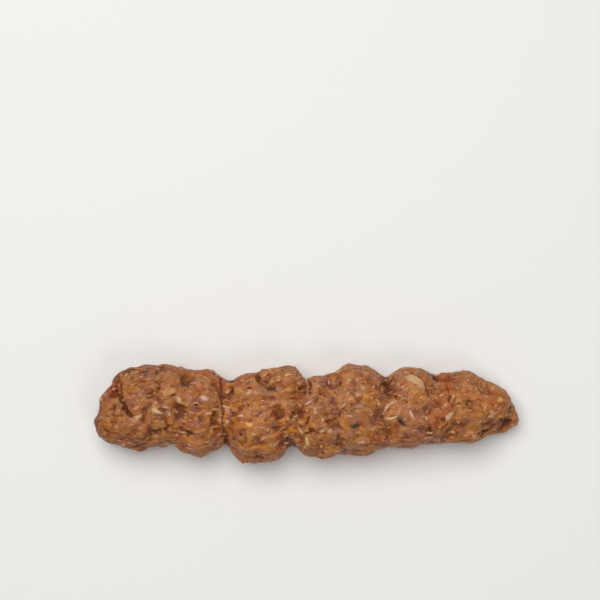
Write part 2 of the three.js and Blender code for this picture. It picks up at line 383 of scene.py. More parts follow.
def baked(thing: bpy.types.Object) -> bpy.types.Mesh:
    """Turns an object's modifiers into plain geometry.

    Args:
        thing: The object, whose modifiers are removed.

    Returns:
        The mesh that they make.
    """
    bpy.context.view_layer.update()
    graph = bpy.context.evaluated_depsgraph_get()
    mesh = bpy.data.meshes.new_from_object(
        thing.evaluated_get(graph), preserve_all_data_layers=True, depsgraph=graph)
    thing.modifiers.clear()
    return mesh


def shown(name: str, mesh: bpy.types.Mesh) -> bpy.types.Object:
    """Puts a mesh in the scene.

    Args:
        name: What it and its object are called.
        mesh: The mesh.

    Returns:
        The object, at the origin.
    """
    thing = bpy.data.objects.new(name, mesh)
    mesh.name = name
    bpy.context.scene.collection.objects.link(thing)
    return thing


def carry(mesh: bpy.types.Mesh, label: str, values: Any, kind: str = "FLOAT", domain: str = "POINT") -> None:
    """Gives a mesh an attribute.

    Args:
        mesh: The mesh.
        label: The attribute's name.
        values: Its values, in order.
        kind: Their type.
        domain: What they belong to.
    """
    flat = np.array(values, np.int32 if kind == "INT" else np.float32).ravel()
    data = mesh.attributes.new(label, kind, domain).data
    data.foreach_set("vector" if kind == "FLOAT_VECTOR" else "value", flat)


# ---------- Finishes ----------


@dataclass(frozen=True, kw_only=True)
class MoistFinish:
    """What moist finishes share: how rough and wet they are, and how far light sinks in, in millimetres."""

    rough: float = 0.36
    clear: float = 0.25
    sink: float = 0.9
    sink_colour: tuple[float, float, float] = (1.0, 0.6, 0.35)
    glint: float = 0.35
    coat: float = 0.3
    coat_rough: float = 0.18

    def dressed(self, tree: ShaderTree, colour: Term, rough: Term, coat: Value,
                normal: Term) -> bpy.types.Material:
        """Ends a material in its shader.

        Args:
            tree: The material's tree.
            colour: The colour.
            rough: The roughness.
            coat: How wet it is.
            normal: The bumped normal.

        Returns:
            The material.
        """
        return tree.finish(tree.node("ShaderNodeBsdfPrincipled", None, {
            "Base Color": colour,
            "Roughness": rough,
            "Subsurface Weight": self.clear,
            "Subsurface Radius": self.sink_colour,
            "Subsurface Scale": self.sink * MM,
            "Specular IOR Level": self.glint,
            "Coat Weight": coat,
            "Coat Roughness": self.coat_rough,
            "Normal": normal,
        }))


@dataclass(frozen=True)
class Tint:
    """A colour that is mixed in as one of the mince's measures goes from `start` to `full`.

    The amount is the share of it at `full`, and is less where the measure that it lies within is low.
    """

    measure: str
    start: float
    full: float
    amount: float
    colour: Colour
    within: str = ""


@dataclass(frozen=True, kw_only=True)
class MeatFinish(MoistFinish):
    """Coarse raw mince with spices: brown, terracotta, mauve and ochre bits, moist, with painted shade in its
    hollows.

    Its stops are in the order of a bit's draw. The fine tints lie under its raw and shaded spots, and the
    broad ones over them. Sizes are in millimetres.
    """

    rough: float = 0.45
    clear: float = 0.16
    sink: float = 1.1
    sink_colour: tuple[float, float, float] = (1.0, 0.36, 0.2)
    glint: float = 0.2
    coat: float = 0.24
    grain_size: float = 0.7
    grain_depth: float = 0.22
    wet_size: float = 2.6
    patch_size: float = 3.3
    bit_size: float = 1.6
    shred_size: float = 1.5
    fine_size: float = 0.9
    wander_size: float = 3.4
    cloud_size: float = 15.0
    blush_size: float = 17.0
    shade_size: float = 22.0
    mauve: Colour = srgb(147, 88, 74)
    brown: Colour = srgb(120, 63, 25)
    rust: Colour = srgb(162, 71, 22)
    clay: Colour = srgb(151, 87, 43)
    ochre: Colour = srgb(165, 94, 20)
    gold: Colour = srgb(189, 119, 30)
    # The colour of pale bits of the mince, and also of painted light on ridges and along the log.
    tan_and_painted_light: Colour = srgb(192, 131, 78)
    pale: Colour = srgb(222, 173, 118)
    # Painted shade: the colour that pits, seams, cracks and hollows of the skin are darkened towards.
    hollow: Colour = srgb(70, 26, 8)
    # The colour of dark flecks in the mince, and also of painted shade in hollows, shaded spots and the left
    # end.
    fleck_and_painted_shade: Colour = srgb(100, 48, 16)
    raw: Colour = srgb(172, 74, 30)
    stops: Stops = ((0.18, mauve), (0.32, clay), (0.42, brown), (0.54, rust), (0.64, clay), (0.76, ochre),
                    (0.98, gold))
    fine_tints: tuple[Tint, ...] = (
        Tint("bit", 0.66, 0.9, 0.5, mauve),
        Tint("bit", 0.34, 0.1, 0.5, gold),
        Tint("light", 0.51, 0.78, 0.6, tan_and_painted_light),
        Tint("light", 0.47, 0.2, 0.55, fleck_and_painted_shade),
        Tint("pale shred", 0.62, 0.95, 0.7, pale, "shred"),
        Tint("dark shred", 0.72, 0.95, 0.5, fleck_and_painted_shade, "shred"),
        Tint("fine", 0.5, 0.32, 0.24, fleck_and_painted_shade),
        Tint("fine", 0.54, 0.72, 0.2, pale),
        # Painted highlight on the skin's ridges, and painted shade in its hollows.
        Tint("cavity", -0.04, -0.3, 0.3, tan_and_painted_light),
        Tint("cavity", 0.04, 0.34, 0.4, fleck_and_painted_shade),
    )
    broad_tints: tuple[Tint, ...] = (
        Tint("blush", 0.5, 0.72, 0.55, rust),
        # Painted shade towards the left end, and painted light over the right half and the tip.
        Tint("along", -44.0, -54.0, 0.12, fleck_and_painted_shade),
        Tint("along", -78.0, -90.0, 0.32, fleck_and_painted_shade),
        Tint("along", -8.0, 20.0, 0.06, tan_and_painted_light),
        Tint("along", 60.0, 76.0, 0.13, tan_and_painted_light),
    )

    def material(self) -> bpy.types.Material:
        """Makes the material.

        Returns:
            The material.
        """
        tree = ShaderTree("raw_mince")
        place = tree.millimetres()
        grain = tree.noise(place, self.grain_size, 3.0)
        open_skin = tree.carried("cavity").step(0.16, -0.06)
        wet = tree.noise(place, self.wet_size).step(0.48, 0.68) * open_skin
        normal = tree.bump(grain + 0.6 * tree.cells(place, 1.1)["Distance"], self.grain_depth, 0.5)
        return self.dressed(tree, self.colour(tree, place), self.rough + 0.3 * grain, self.coat * wet, normal)

    def colour(self, tree: ShaderTree, place: Term) -> Term:
        """The mince's colour, which also reads what the skin carries, from its tone to its shaded spots, with
        painted shade in its hollows.

        Args:
            tree: The material's tree.
            place: The place in millimetres.

        Returns:
            The colour.
        """
        tone, strand, hollow, crack, dark, cavity, raw, shaded = (
            tree.carried(name) for name in SKIN_ATTRIBUTES)
        fine = tree.noise(place, self.fine_size, 3.0)
        flat = tree.drawn_out(tree.bent(place, 5.0, 4.0), 0.6)
        patches = tree.cells(flat, self.patch_size, soft=0.4)
        bits = tree.cells(tree.bent(flat, 1.8, 1.3), self.bit_size, soft=0.3)
        streaks = tree.drawn_out(tree.bent(place, 4.0, 3.6), 0.5)
        shreds = tree.cells(tree.bent(streaks, 0.8, 0.7), self.shred_size)
        kind = (0.75 * tree.draw(patches, "Red") + 0.55 * tree.draw(bits, "Red") + 0.2 * tone
                + tree.noise(place, self.cloud_size) - 0.75)
        measures = {
            "bit": tree.draw(bits, "Blue"),
            "light": (0.5 * tree.draw(bits, "Green") + 0.35 * tree.draw(patches, "Blue") + 0.15 * strand
                      + 0.5 * tree.noise(place, self.shade_size, 1.0) - 0.25),
            "pale shred": tree.draw(shreds, "Red"),
            "dark shred": tree.draw(shreds, "Green"),
            "shred": shreds["Distance"].step(0.62, 0.1) * (0.5 + fine),
            "fine": fine,
            "cavity": cavity,
            "blush": tree.noise(place, self.blush_size, 1.0),
            "along": tree.part(place, "X"),
        }
        colour = self._tinted(tree, tree.ramp(kind, self.stops), self.fine_tints, measures)
        colour = tree.mix(raw * (0.55 + 0.5 * fine), colour, self.raw)
        colour = tree.mix(shaded * (0.5 + 0.4 * fine), colour, self.fleck_and_painted_shade)
        colour = self._tinted(tree, colour, self.broad_tints, measures)
        # Painted shade: pits, seams, hollows and open cracks are mixed toward the hollow colour.
        wander = tree.noise(place, self.wander_size, 1.0)
        opening = (crack + 0.6 * (fine - 0.5) + 0.6 * (wander - 0.5)).step(1.0, 0.2)
        depth = (hollow * (0.6 + 0.6 * fine) + 0.55 * cavity.step(0.12, 0.8)).most(opening * dark)
        return tree.mix(depth.least(1.0), colour, self.hollow)

    @staticmethod
    def _tinted(tree: ShaderTree, colour: Term, tints: tuple[Tint, ...], measures: dict[str, Term]) -> Term:
        """Mixes tints into a colour, one over the other.

        Args:
            tree: The material's tree.
            colour: The colour.
            tints: The tints.
            measures: What they go by, by name.

        Returns:
            The tinted colour.
        """
        for tint in tints:
            share = tint.amount * measures[tint.measure].step(tint.start, tint.full)
            if tint.within:
                share = share * measures[tint.within]
            colour = tree.mix(share, colour, tint.colour)
        return colour


@dataclass(frozen=True)
class PieceFinish(MoistFinish):
    """A moist piece in the meat, whose rim takes on the colour of the meat round it.

    The meat's colour is smeared on it, from `least` in its clean middle to `smeared` at its rim.
    """

    name: str
    stops: Stops
    smeared: float = 0.7
    least: float = 0.1
    clean: float = 0.45
    mottle: float = 0.5
    fine_size: float = 0.9
    ragged_size: float = 2.2
    bump_depth: float = 0.15
    meat: MeatFinish = field(default_factory=MeatFinish)

    def material(self) -> bpy.types.Material:
        """Makes the material, which reads each piece's shade and rim, and what the skin under it carries.

        Returns:
            The material.
        """
        tree = ShaderTree(self.name)
        place = tree.millimetres()
        fine = tree.noise(place, self.fine_size, 3.0)
        ragged = fine + tree.noise(place, self.ragged_size, 1.0) - 1.0
        own = tree.ramp(tree.carried("shade") + self.mottle * (fine - 0.5), self.stops)
        edge = (tree.carried("rim") + 0.9 * ragged).step(self.clean, 1.1)
        smear = self.least + (self.smeared - self.least) * edge
        colour = tree.mix(smear, own, self.meat.colour(tree, place))
        normal = tree.bump(fine, self.bump_depth, 0.4)
        return self.dressed(tree, colour, self.rough + 0.2 * fine, self.coat, normal)


@dataclass(frozen=True)
class FloorFinish:
    """The plain pale floor."""

    colour: Colour = srgb(236, 235, 232)
    rough: float = 0.8

    def material(self) -> bpy.types.Material:
        """Makes the material."""
        tree = ShaderTree("pale_floor")
        return tree.finish(tree.node("ShaderNodeBsdfPrincipled", None, {
            "Base Color": self.colour, "Roughness": self.rough}))


# ---------- The pressed meat ----------


@dataclass(frozen=True)
class Crack:
    """An open crack along points seen from above, in millimetres, and how dark its painted shade is."""

    width: float
    depth: float
    dark: float
    path: tuple[Point, ...]


def cracks_of(*rows: tuple[Any, ...]) -> tuple[Crack, ...]:
    """Cracks, each from a row of its width, depth, darkness and points."""
    return tuple(Crack(*row[:3], row[3:]) for row in rows)


@dataclass(frozen=True)
class Relief:
    """One kind of small relief: how far apart it is and how high or deep, in millimetres.

    Its cells wander by `reach` over each `swirl`, are long where only a `share` of X counts, and may be soft.
    A mound of it has `top` of its height in the middle and falls off by `fall` of it.
    """

    size: float
    height: float
    swirl: float = 1.0
    reach: float = 0.0
    share: float = 1.0
    soft: float = 0.0
    top: float = 0.5
    fall: float = 2.0

    def wandering(self, tree: Tree, place: Term) -> Term:
        """The place that its cells are laid out on."""
        return tree.drawn_out(tree.bent(place, self.swirl, self.reach), self.share)


@dataclass
class Meat:
    """The log of pressed mince: the CAD solid, rounded, with its relief, cracks and spots. Millimetres."""

    voxel: float = 0.54
    rounding: int = 14
    lowest: float = 0.12
    raw_depth: float = 1.2
    raw_spots: tuple[Spot, ...] = ((-81.8, 9.6, 3.8), (-80.6, 12.6, 2.6))
    shaded_spots: tuple[Spot, ...] = (
        (80.8, -5.0, 2.8), (83.6, -4.4, 2.4), (-81.0, 17.0, 3.0), (-77.0, 18.6, 3.4))
    granule: Relief = Relief(5.0, 0.3, 8.0, 5.6, soft=0.6, fall=2.2)
    lump: Relief = Relief(2.4, 0.26, 4.0, 2.8, share=0.66, soft=0.3)
    strand: Relief = Relief(1.7, 0.2, 11.0, 8.0, share=0.42, soft=0.25, top=0.4, fall=1.6)
    grain: Relief = Relief(1.2, 0.14)
    pit: Relief = Relief(5.0, 0.7, 2.0, 2.0)
    seam: Relief = Relief(10.0, 0.35, 4.0, 6.0)
    lively_size: float = 14.0
    broken_size: float = 6.0
    fine_blur: int = 6
    wide_blur: int = 60
    cracks: tuple[Crack, ...] = cracks_of(
        (0.55, 0.8, 0.75, (-78.9, 10.6), (-78.8, 5.0), (-77.3, 3.5), (-75.5, 0.8), (-74.3, -0.7)),
        (0.8, 0.8, 0.4, (-81.0, 17.6), (-79.6, 15.6), (-79.0, 12.6), (-78.9, 10.6)),
        (0.5, 0.8, 0.6, (-86.4, -5.9), (-85.6, -7.2), (-84.4, -8.0)),
        (0.45, 0.8, 0.7, (-69.1, 8.3), (-67.0, 8.4), (-64.9, 9.6)),
        (0.45, 0.8, 0.7, (-68.4, 2.2), (-68.1, 0.8)), (0.45, 0.8, 0.7, (-69.5, -2.7), (-69.1, -3.6)),
        (0.4, 0.8, 0.6, (-62.1, 2.2), (-60.6, 1.4), (-59.3, 1.5)),
        (0.7, 1.0, 0.8, (-53.8, -6.2), (-52.9, -6.4)),
        (0.55, 1.0, 0.6, (-36.2, 17.0), (-36.4, 14.4), (-36.1, 10.0), (-36.5, 7.0)),
        (0.5, 1.0, 0.45, (-36.5, 7.0), (-36.0, 3.8), (-35.4, -0.5)),
        (0.5, 0.9, 0.4, (-35.4, -0.5), (-36.2, -3.2), (-35.6, -5.5)),
        (0.5, 1.0, 0.5, (-35.6, -5.5), (-35.1, -9.0), (-34.6, -13.0)),
        (1.4, 2.6, 0.45, (-21.8, 19.4), (-21.4, 17.0), (-20.9, 15.0)),
        (0.6, 1.0, 0.8, (-25.2, 11.2), (-24.2, 11.0)), (0.5, 0.8, 0.6, (-17.5, -2.8), (-17.0, -3.1)),
        (0.5, 0.8, 0.7, (-9.4, -3.4), (-8.9, -3.8)), (0.5, 0.8, 0.7, (-4.5, 3.8), (-4.2, 3.4)),
        (0.8, 1.2, 0.7, (0.8, 13.8), (1.2, 12.2), (0.9, 10.8)),
        (0.4, 0.8, 0.6, (0.6, 9.2), (1.5, 7.6), (3.4, 6.6)),
        (0.6, 1.1, 0.7, (0.5, -1.4), (-0.2, -2.8), (-0.6, -4.2)),
        (0.5, 1.1, 0.7, (-1.2, -8.4), (0.4, -7.9), (2.2, -7.0), (2.9, -7.6)),
        (0.45, 0.8, 0.7, (33.4, 8.4), (34.2, 8.6)), (0.5, 0.9, 0.7, (34.7, 13.6), (35.5, 13.8)),
        (0.4, 0.7, 0.6, (53.5, 5.4), (55.2, 4.1)),
        (0.45, 1.0, 0.6, (58.4, 12.4), (59.6, 8.5), (59.6, 5.4)),
        (0.45, 1.0, 0.5, (59.6, 5.4), (61.7, 3.6), (64.2, 4.3), (66.3, 5.4)),
        (0.4, 0.8, 0.5, (67.7, 5.5), (69.8, 5.0), (72.3, 6.1), (74.2, 5.0)),
        (0.4, 0.7, 0.5, (56.4, -7.2), (57.8, -5.6), (59.6, -4.2)),
        (0.45, 0.8, 0.6, (77.4, 4.2), (78.4, 3.8)),
        (0.9, 1.4, 0.9, (72.6, -8.9), (74.5, -7.6), (76.4, -6.7)),
        (0.5, 0.9, 0.6, (76.4, -6.7), (78.1, -5.9), (79.0, -4.6)),
        (1.3, 0.6, 0.75, (81.6, -2.6), (83.4, -2.9), (85.2, -3.2)),
    )
    finish: MeatFinish = field(default_factory=MeatFinish)

    def build(self) -> tuple[bpy.types.Object, bpy.types.Object]:
        """Makes the meat.

        Returns:
            The finished meat, and the rounded skin under its relief, which is a helper.
        """
        rounded = self._rounded()
        lines = self._crack_lines()
        mesh = self._relief(lines).applied_to(rounded)
        bpy.data.objects.remove(lines)
        meat = shown("meat", mesh)
        log.info("meat: %d points, %d faces", len(mesh.vertices), len(mesh.polygons))
        return meat, rounded

    def _rounded(self) -> bpy.types.Object:
        """The CAD solid in small even faces, with its facets smoothed away.

        Returns:
            The rounded skin.
        """
        edit = bmesh.new()
        edit.from_mesh(frame["nodes"]["kofta"].data)
        bmesh.ops.remove_doubles(edit, verts=edit.verts, dist=1e-6)
        mesh = bpy.data.meshes.new("rounded")
        edit.to_mesh(mesh)
        edit.free()
        mesh.materials.clear()
        solid = shown("rounded", mesh)
        remesh = solid.modifiers.new("even", "REMESH")
        remesh.mode = "VOXEL"
        remesh.voxel_size = self.voxel * MM
        smooth = solid.modifiers.new("round", "SMOOTH")
        smooth.factor = 0.5
        smooth.iterations = self.rounding
        rounded = shown("rounded_skin", baked(solid))
        bpy.data.objects.remove(solid)
        return rounded

    def _crack_lines(self) -> bpy.types.Object:
        """The cracks as lines on a level sheet, each with its width, depth and the darkness of its painted
        shade.

        Returns:
            The lines.
        """
        points: list[Spot] = []
        edges: list[tuple[int, int]] = []
        sizes: list[Spot] = []
        for crack in self.cracks:
            spans = range(len(points), len(points) + len(crack.path) - 1)
            edges += [(i, i + 1) for i in spans]
            sizes += [(crack.width, crack.depth, crack.dark)] * len(spans)
            points += [(x * MM, y * MM, 0.0) for x, y in crack.path]
        mesh = bpy.data.meshes.new("crack_lines")
        mesh.from_pydata(points, edges, [])
        for label, values in zip(("width", "depth", "dark"), zip(*sizes)):
            carry(mesh, label, values, domain="EDGE")
        log.info("cracks: %d lines, %d points", len(self.cracks), len(points))
        return shown("crack_lines", mesh)

    def _relief(self, lines: bpy.types.Object) -> GeometryTree:
        """Builds the tree that raises granules, lumps, strands and grain, and sinks pits, seams and cracks.

        Args:
            lines: The cracks' lines.

        Returns:
            The tree, which also keeps on the skin what the colours read.
        """
        inputs: dict[str, tuple[str, Any]] = {
            "Crack Lines": ("Object", lines), "Lowest": ("Float", self.lowest * MM),
            "Material": ("Material", self.finish.material()),
        }
        for name in ("granule", "lump", "strand", "grain", "pit", "seam"):
            relief = getattr(self, name)
            inputs |= {f"{name} size": ("Float", relief.size), f"{name} height": ("Float", relief.height)}
        tree = GeometryTree("mince_relief", inputs)
        given = tree.given
        position = tree.node("GeometryNodeInputPosition")[0]
        place = tree.vector("SCALE", position, 1 / MM)
        tones, mounds = {}, {}
        for name in ("granule", "lump", "strand"):
            relief = getattr(self, name)
            cells = tree.cells(relief.wandering(tree, place), given[f"{name} size"], soft=relief.soft)
            far = cells["Distance"]
            tones[name] = tree.draw(cells, "Green")
            mounds[name] = given[f"{name} height"] * (relief.top - relief.fall * far * far)
        grain = given["grain height"] * (tree.noise(place, given["grain size"]) - 0.5)
        lively = 0.45 + 0.8 * tree.noise(place, self.lively_size, 1.0).step(0.36, 0.6)
        pits = tree.cells(self.pit.wandering(tree, self.lump.wandering(tree, place)), given["pit size"])
        pit = pits["Distance"].step(0.17, 0.04) * tree.draw(pits, "Red").step(0.5, 0.55)
        seams = tree.cells(self.seam.wandering(tree, place), given["seam size"], "DISTANCE_TO_EDGE")
        seam = seams["Distance"].step(0.07, 0.01) * tree.noise(place, self.broken_size).step(0.5, 0.6)

        normal = tree.node("GeometryNodeInputNormal")[0]
        upper = tree.part(normal, "Z").step(-0.1, 0.2)
        ragged = VIEW.seen(tree, tree.vector("SCALE", tree.bent(place, 2.0, 1.3), MM))
        gap, width, depth, dark = self._nearest_crack(tree, tree.mesh_of(given["Crack Lines"]), ragged)
        across = gap / width + 3 * (1 - upper)
        raw = self._spots(tree, ragged, self.raw_spots) * upper
        shaded = self._spots(tree, ragged, self.shaded_spots) * upper
        height = (
            mounds["granule"] + lively * (mounds["lump"] + mounds["strand"] + grain)
            - given["pit height"] * pit - given["seam height"] * seam
            - self.raw_depth * raw - depth * (1 - across).most(0.0)
        )
        skin = given["Geometry"]
        # Painted shade: the pit and seam mask and each crack's darkness are kept for the colour to darken
        # them.
        hollow = (0.6 * pit + 0.4 * seam).least(1.0)
        kept = {"tone": tones["granule"], "strand": tones["strand"], "hollow": hollow, "crack": across,
                "dark": dark, "raw": raw, "shaded": shaded}
        for name, value in kept.items():
            skin = tree.stored(skin, name, value)
        moved = tree.vector("ADD", position, tree.vector("SCALE", normal, height * MM))
        laid = tree.above(moved, given["Lowest"])
        skin = tree.node("GeometryNodeSetPosition", None, {"Geometry": skin, "Position": laid})[0]
        # The cavity is kept for the colour's painted shade in hollows and painted highlight on ridges.
        cavity = self._cavity(tree, self.fine_blur) + self._cavity(tree, self.wide_blur)
        tree.finish(tree.stored(skin, "cavity", cavity), given["Material"])
        return tree

    @staticmethod
    def _nearest_crack(tree: GeometryTree, lines: Term, seen: Term) -> tuple[Term, ...]:
        """Looks up the crack that is nearest to where a point is seen.

        Args:
            tree: The tree.
            lines: The cracks' lines.
            seen: Where the point is seen from above.

        Returns:
            How far off the crack is, in millimetres, and its width, depth and the darkness of its painted
            shade.
        """
        near = tree.node("GeometryNodeProximity", {"target_element": "EDGES"}, {
            0: lines, "Source Position": seen})
        index = tree.node("GeometryNodeSampleNearest", {"domain": "EDGE"}, {
            "Geometry": lines, "Sample Position": seen})[0]
        sizes = (
            tree.node("GeometryNodeSampleIndex", {"data_type": "FLOAT", "domain": "EDGE"}, {
                "Geometry": lines, "Value": tree.attribute(name), "Index": index})[0]
            for name in ("width", "depth", "dark")
        )
        return (near["Distance"] * (1 / MM), *sizes)

    @staticmethod
    def _spots(tree: GeometryTree, seen: Term, spots: tuple[Spot, ...]) -> Term:
        """Marks spots on the skin.

        Args:
            tree: The tree.
            seen: Where a point is seen from above.
            spots: Each spot's X, Y and reach in millimetres.

        Returns:
            1 in the middle of a spot, and 0 outside them all.
        """
        inside: Value = 0.0
        for x, y, reach in spots:
            off = tree.vector("SUBTRACT", seen, (x * MM, y * MM, 0.0))
            inside = (tree.number("LENGTH", off) * (1 / MM)).step(reach, 0.5 * reach).most(inside)
        return inside

    @staticmethod
    def _cavity(tree: GeometryTree, rounds: int) -> Term:
        """Measures how hollow the skin is.

        Args:
            tree: The tree.
            rounds: How often the skin is blurred, for a surrounding that much wider.

        Returns:
            How far it lies below its surroundings, in millimetres, and below zero on a ridge.
        """
        position = tree.node("GeometryNodeInputPosition")[0]
        level = tree.node("GeometryNodeBlurAttribute", {"data_type": "FLOAT_VECTOR"}, {
            "Value": position, "Iterations": rounds})[0]
        normal = tree.node("GeometryNodeInputNormal")[0]
        return tree.number("DOT_PRODUCT", tree.vector("SUBTRACT", level, position), normal) * (1 / MM)


# ---------- The pieces that lie in the meat's skin ----------


class Shape(Enum):
    """The forms of the pieces."""

    FLAKE = "flake"
    PETAL = "petal"
    SLIVER = "sliver"
    NODULE = "nodule"
    LEAF = "leaf"
    CRUMB = "crumb"


@dataclass(frozen=True)
class ShapeForm:
    """How one shape is made in a unit square, before it is brought to its size.

    The outline is an ellipse where it is as blunt as 2, and squarer above. It waves by `ragged` and narrows
    by `taper` towards its far end. The whole bends by `bend`, to either side unless it is held. The top is
    flat to its edge with a high `crown`, and `wrinkle` roughens it. The underside is `under` as wide, and
    `sunk` in the skin.
    """

    ragged: float
    bend: float
    crown: float
    wrinkle: float
    rings: int = 4
    sectors: int = 14
    taper: float = 0.0
    held: bool = False
    blunt: float = 2.6
    under: float = 0.9
    sunk: float = -1.4

    def mesh(self, name: str, seed: int) -> bpy.types.Mesh:
        """One variant of the shape: a closed disc whose points know their lift and how near the rim they are.

        Args:
            name: The mesh's name.
            seed: Where its random draws start.

        Returns:
            The mesh.
        """
        random = np.random.default_rng(seed)
        angles = np.arange(self.sectors) * 2 * math.pi / self.sectors
        outline = (abs(np.cos(angles)) ** self.blunt + abs(np.sin(angles)) ** self.blunt) ** (-1 / self.blunt)
        for wave in (2, 3, 4, 5):
            outline += self.ragged / wave * random.normal() * np.sin(wave * angles + random.uniform(0, 6.3))
        bend = self.bend if self.held else self.bend * random.uniform(0.4, 1.0) * random.choice((-1, 1))
        spots = [(0.0, 0.0, 1.0, 1.0, 0.0)]
        for ring in range(1, self.rings + 1):
            share = ring / self.rings
            for angle, reach in zip(angles, outline):
                rough = 1 + self.wrinkle * random.normal()
                lift = (1 - share ** self.crown) * rough - 0.35 * share ** 6
                spots.append((share, angle, reach, lift, share))
        spots += [(self.under, angle, reach, self.sunk, 1.0) for angle, reach in zip(angles, outline)]
        spots.append((0.0, 0.0, 1.0, self.sunk, 1.0))
        points = [self._point(share * reach, angle, bend) for share, angle, reach, _, _ in spots]
        mesh = bpy.data.meshes.new(name)
        mesh.from_pydata(points, [], self._faces())
        carry(mesh, "lift", [lift for _, _, _, lift, _ in spots])
        carry(mesh, "rim", [rim for _, _, _, _, rim in spots])
        carry(mesh, "end", [2 * x for x, _, _ in points])
        return mesh

    def _point(self, reach: float, angle: float, bend: float) -> Spot:
        """A point of the flat disc.

        Args:
            reach: How far out it lies.
            angle: In which direction.
            bend: How much the disc bends.

        Returns:
            The point.
        """
        x = 0.5 * reach * math.cos(angle)
        y = 0.5 * reach * math.sin(angle) * (1 - 2 * self.taper * x)
        return x, y + bend * (4 * x * x - 0.3), 0.0

    def _faces(self) -> list[tuple[int, ...]]:
        """The faces of the disc's top, side and underside.

        Returns:
            Each face's points.
        """
        count = self.sectors
        faces: list[tuple[int, ...]] = []
        for i in range(count):
            j = (i + 1) % count
            faces.append((0, 1 + i, 1 + j))
            for ring in range(self.rings):
                inner, outer = 1 + ring * count, 1 + (ring + 1) * count
                faces.append((inner + i, outer + i, outer + j, inner + j))
            below = 1 + self.rings * count
            faces.append((below + i, below + count, below + j))
        return faces


FORMS: dict[Shape, ShapeForm] = {
    Shape.FLAKE: ShapeForm(ragged=0.5, bend=0.16, crown=4.0, wrinkle=0.22),
    Shape.PETAL: ShapeForm(
        ragged=0.24, bend=-0.36, crown=5.0, wrinkle=0.16, rings=5, sectors=18, taper=0.3, held=True),
    Shape.SLIVER: ShapeForm(ragged=0.3, bend=0.38, crown=2.4, wrinkle=0.15, rings=2, sectors=12, blunt=3.2),
    Shape.NODULE: ShapeForm(ragged=0.34, bend=0.16, crown=2.0, wrinkle=0.1, rings=2, sectors=10),
    Shape.LEAF: ShapeForm(ragged=0.42, bend=0.12, crown=6.0, wrinkle=0.4),
    Shape.CRUMB: ShapeForm(ragged=0.5, bend=0.3, crown=2.0, wrinkle=0.2, rings=2, sectors=12),
}


@dataclass(frozen=True)
class Placed:
    """One piece that has its own place: seen from above, in millimetres, with its turn in degrees."""

    x: float
    y: float
    length: float
    width: float
    turn: float
    proud: float = 0.3
    shade: float = 0.5
    curl: float = 0.0


def placed_at(*rows: tuple[float, ...]) -> tuple[Placed, ...]:
    """Pieces with their own places, each from a row of its numbers in their order."""
    return tuple(Placed(*row) for row in rows)


@dataclass(frozen=True)
class Spread:
    """Pieces spread over the skin by a seeded rule, most of them dark where `dull` is high. Millimetres."""

    count: int
    seed: int
    length: tuple[float, float]
    width: tuple[float, float]
    proud: tuple[float, float]
    apart: float
    under: float = 0.4
    curl: float = 0.0
    dull: float = 1.0


@dataclass(frozen=True)
class Seat:
    """Where one piece sits on the skin, in metres and radians."""

    at: Vector
    facing: Vector
    size: tuple[float, float, float]
    turn: float
    proud: float
    shade: float
    curl: float
    shape: int


@dataclass
class Bed:
    """The skins that pieces are laid on, and the places that spread ones stay clear of."""

    meat: bpy.types.Object
    rounded: bpy.types.Object
    taken: list[Vector] = field(default_factory=list)
    clear_of_crack: float = 1.4

    def __post_init__(self) -> None:
        """Reads the skins."""
        self.tree = BVHTree.FromObject(self.rounded, bpy.context.evaluated_depsgraph_get())
        faces = self.rounded.data.polygons
        areas = np.zeros(len(faces))
        faces.foreach_get("area", areas)
        self.chances = np.cumsum(areas) / areas.sum()
        self.gaps = np.zeros(len(self.meat.data.vertices), np.float32)
        self.meat.data.attributes["crack"].data.foreach_get("value", self.gaps)

    def under(self, x: float, y: float) -> tuple[Optional[Vector], Optional[Vector]]:
        """The skin's point and normal that show at a place seen from above, in millimetres."""
        hit, normal, _, _ = self.tree.ray_cast(*VIEW.through(x, y))
        return hit, normal

    def face(self, draw: float) -> tuple[Vector, Vector, bool]:
        """Picks a face of the skin, each by its area.

        Args:
            draw: A random number from 0 to 1.

        Returns:
            The face's middle, its normal and whether a crack runs by it.
        """
        index = min(int(np.searchsorted(self.chances, draw)), len(self.chances) - 1)
        face = self.rounded.data.polygons[index]
        cracked = bool(self.gaps[face.vertices[0]] < self.clear_of_crack)
        return face.center.copy(), face.normal.copy(), cracked

    @staticmethod
    def is_near(place: Vector, others: list[Vector], apart: float) -> bool:
        """Whether one of some places lies nearer than a distance."""
        return any((place - other).length < apart for other in others)


